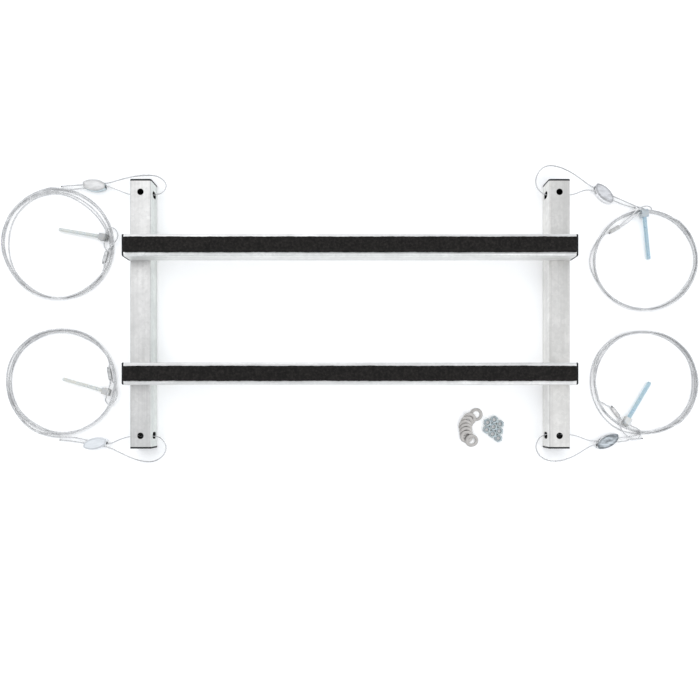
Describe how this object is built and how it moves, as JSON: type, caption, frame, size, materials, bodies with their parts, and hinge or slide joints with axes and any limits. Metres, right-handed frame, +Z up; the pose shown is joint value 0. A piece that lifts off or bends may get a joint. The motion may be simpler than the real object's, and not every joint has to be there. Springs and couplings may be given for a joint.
{
  "type": "cable-hung equipment frame",
  "caption": "Two foam-padded square rails across two cross tubes, each corner hung from a coiled wire rope with a sliding cable grip and a threaded stud.",
  "frame": {"origin": "middle of the frame (rails and cross tubes), on the surface that it lies on", "axes": "+X along the rails, +Y towards the back rail, +Z up"},
  "size_m": [1.2816, 0.5404, 0.0822],
  "materials": {
    "galvanised": "galvanised steel tube, satin, with faint drawing lines along it",
    "foam": "closed-cell foam strip, matt black with fine pores",
    "plug_plastic": "moulded black plastic",
    "zinc_plated": "bright zinc plate with a blue tint",
    "bright_steel": "tumbled plain steel washers, slightly warm",
    "die_cast": "zinc die casting, fine-grained satin",
    "hardened_steel": "dark hardened steel",
    "spring_wire": "bright spring wire",
    "rope": "galvanised wire rope of seven strands",
    "ferrule_metal": "crimped aluminium sleeve"
  },
  "bodies": {
    "root": {"cross_tube_left": "galvanised", "cross_tube_right": "galvanised", "rail_front": "galvanised", "rail_back": "galvanised", "pad_front": "foam", "pad_back": "foam", "plug_cross_left_front": "plug_plastic", "plug_cross_left_back": "plug_plastic", "plug_cross_right_front": "plug_plastic", "plug_cross_right_back": "plug_plastic", "plug_rail_front_left": "plug_plastic", "plug_rail_front_right": "plug_plastic", "plug_rail_back_left": "plug_plastic", "plug_rail_back_right": "plug_plastic", "crossing_bolts": "zinc_plated", "crossing_washers": "zinc_plated", "threaded_inserts": "zinc_plated", "loose_washers": "bright_steel", "loose_nuts": "zinc_plated", "back_left_cable_lead": "rope", "back_left_cable_coil": "rope", "back_left_cable_eye": "rope", "back_left_ferrule": "ferrule_metal", "back_right_cable_lead": "rope", "back_right_cable_coil": "rope", "back_right_cable_eye": "rope", "back_right_ferrule": "ferrule_metal", "front_left_cable_lead": "rope", "front_left_cable_coil": "rope", "front_left_cable_eye": "rope", "front_left_ferrule": "ferrule_metal", "front_right_cable_lead": "rope", "front_right_cable_coil": "rope", "front_right_cable_eye": "rope", "front_right_ferrule": "ferrule_metal"},
    "back_left_grip": {"back_left_grip_body": "die_cast", "back_left_grip_springs": "spring_wire"},
    "back_left_wedge_standing": {"back_left_wedge_standing": "hardened_steel"},
    "back_left_wedge_tail": {"back_left_wedge_tail": "hardened_steel"},
    "back_left_stud": {"back_left_stud_rod": "zinc_plated", "back_left_stud_head": "zinc_plated"},
    "back_right_grip": {"back_right_grip_body": "die_cast", "back_right_grip_springs": "spring_wire"},
    "back_right_wedge_standing": {"back_right_wedge_standing": "hardened_steel"},
    "back_right_wedge_tail": {"back_right_wedge_tail": "hardened_steel"},
    "back_right_stud": {"back_right_stud_rod": "zinc_plated", "back_right_stud_head": "zinc_plated"},
    "front_left_grip": {"front_left_grip_body": "die_cast", "front_left_grip_springs": "spring_wire"},
    "front_left_wedge_standing": {"front_left_wedge_standing": "hardened_steel"},
    "front_left_wedge_tail": {"front_left_wedge_tail": "hardened_steel"},
    "front_left_stud": {"front_left_stud_rod": "zinc_plated", "front_left_stud_head": "zinc_plated"},
    "front_right_grip": {"front_right_grip_body": "die_cast", "front_right_grip_springs": "spring_wire"},
    "front_right_wedge_standing": {"front_right_wedge_standing": "hardened_steel"},
    "front_right_wedge_tail": {"front_right_wedge_tail": "hardened_steel"},
    "front_right_stud": {"front_right_stud_rod": "zinc_plated", "front_right_stud_head": "zinc_plated"}
  },
  "joints": [
    {"name": "back_left_grip_slide", "type": "slide", "parent": "root", "child": "back_left_grip", "axis": [-0.9976, -0.0698, 0], "range_m": [0, 0.012]},
    {"name": "back_left_wedge_standing_release", "type": "slide", "parent": "back_left_grip", "child": "back_left_wedge_standing", "axis": [-0.9713, -0.2381, 0], "range_m": [0, 0.0025], "stiffness_N_per_m": 60, "springref_m": -0.003, "deforming": ["back_left_grip_springs"]},
    {"name": "back_left_wedge_tail_release", "type": "slide", "parent": "back_left_grip", "child": "back_left_wedge_tail", "axis": [0.9713, 0.2381, 0], "range_m": [0, 0.0025], "stiffness_N_per_m": 60, "springref_m": -0.003, "deforming": ["back_left_grip_springs"]},
    {"name": "back_left_stud_swing", "type": "hinge", "parent": "root", "child": "back_left_stud", "pos_m": [-0.4505, 0.145, 0.0058], "axis": [0.1736, 0.9848, 0], "range_deg": [0, 110]},
    {"name": "back_right_grip_slide", "type": "slide", "parent": "root", "child": "back_right_grip", "axis": [0.9135, -0.4067, 0], "range_m": [0, 0.012]},
    {"name": "back_right_wedge_standing_release", "type": "slide", "parent": "back_right_grip", "child": "back_right_wedge_standing", "axis": [0.9693, -0.2458, 0], "range_m": [0, 0.0025], "stiffness_N_per_m": 60, "springref_m": -0.003, "deforming": ["back_right_grip_springs"]},
    {"name": "back_right_wedge_tail_release", "type": "slide", "parent": "back_right_grip", "child": "back_right_wedge_tail", "axis": [-0.9693, 0.2458, 0], "range_m": [0, 0.0025], "stiffness_N_per_m": 60, "springref_m": -0.003, "deforming": ["back_right_grip_springs"]},
    {"name": "back_right_stud_swing", "type": "hinge", "parent": "root", "child": "back_right_stud", "pos_m": [0.538, 0.19, 0.0109], "axis": [-0.9903, -0.1392, 0], "range_deg": [0, 110]},
    {"name": "front_left_grip_slide", "type": "slide", "parent": "root", "child": "front_left_grip", "axis": [-0.9848, 0.1736, 0], "range_m": [0, 0.012]},
    {"name": "front_left_wedge_standing_release", "type": "slide", "parent": "front_left_grip", "child": "front_left_wedge_standing", "axis": [-0.941, 0.3383, 0], "range_m": [0, 0.0025], "stiffness_N_per_m": 60, "springref_m": -0.003, "deforming": ["front_left_grip_springs"]},
    {"name": "front_left_wedge_tail_release", "type": "slide", "parent": "front_left_grip", "child": "front_left_wedge_tail", "axis": [0.941, -0.3383, 0], "range_m": [0, 0.0025], "stiffness_N_per_m": 60, "springref_m": -0.003, "deforming": ["front_left_grip_springs"]},
    {"name": "front_left_stud_swing", "type": "hinge", "parent": "root", "child": "front_left_stud", "pos_m": [-0.4455, -0.139, 0.0058], "axis": [0.2756, 0.9613, 0], "range_deg": [0, 110]},
    {"name": "front_right_grip_slide", "type": "slide", "parent": "root", "child": "front_right_grip", "axis": [0.9925, 0.1219, 0], "range_m": [0, 0.008]},
    {"name": "front_right_wedge_standing_release", "type": "slide", "parent": "front_right_grip", "child": "front_right_wedge_standing", "axis": [-0.9988, 0.0484, 0], "range_m": [0, 0.0025], "stiffness_N_per_m": 60, "springref_m": -0.003, "deforming": ["front_right_grip_springs"]},
    {"name": "front_right_wedge_tail_release", "type": "slide", "parent": "front_right_grip", "child": "front_right_wedge_tail", "axis": [0.9988, -0.0484, 0], "range_m": [0, 0.0025], "stiffness_N_per_m": 60, "springref_m": -0.003, "deforming": ["front_right_grip_springs"]},
    {"name": "front_right_stud_swing", "type": "hinge", "parent": "root", "child": "front_right_stud", "pos_m": [0.5075, -0.195, 0.0058], "axis": [0.8572, -0.515, 0], "range_deg": [0, 110]}
  ]
}
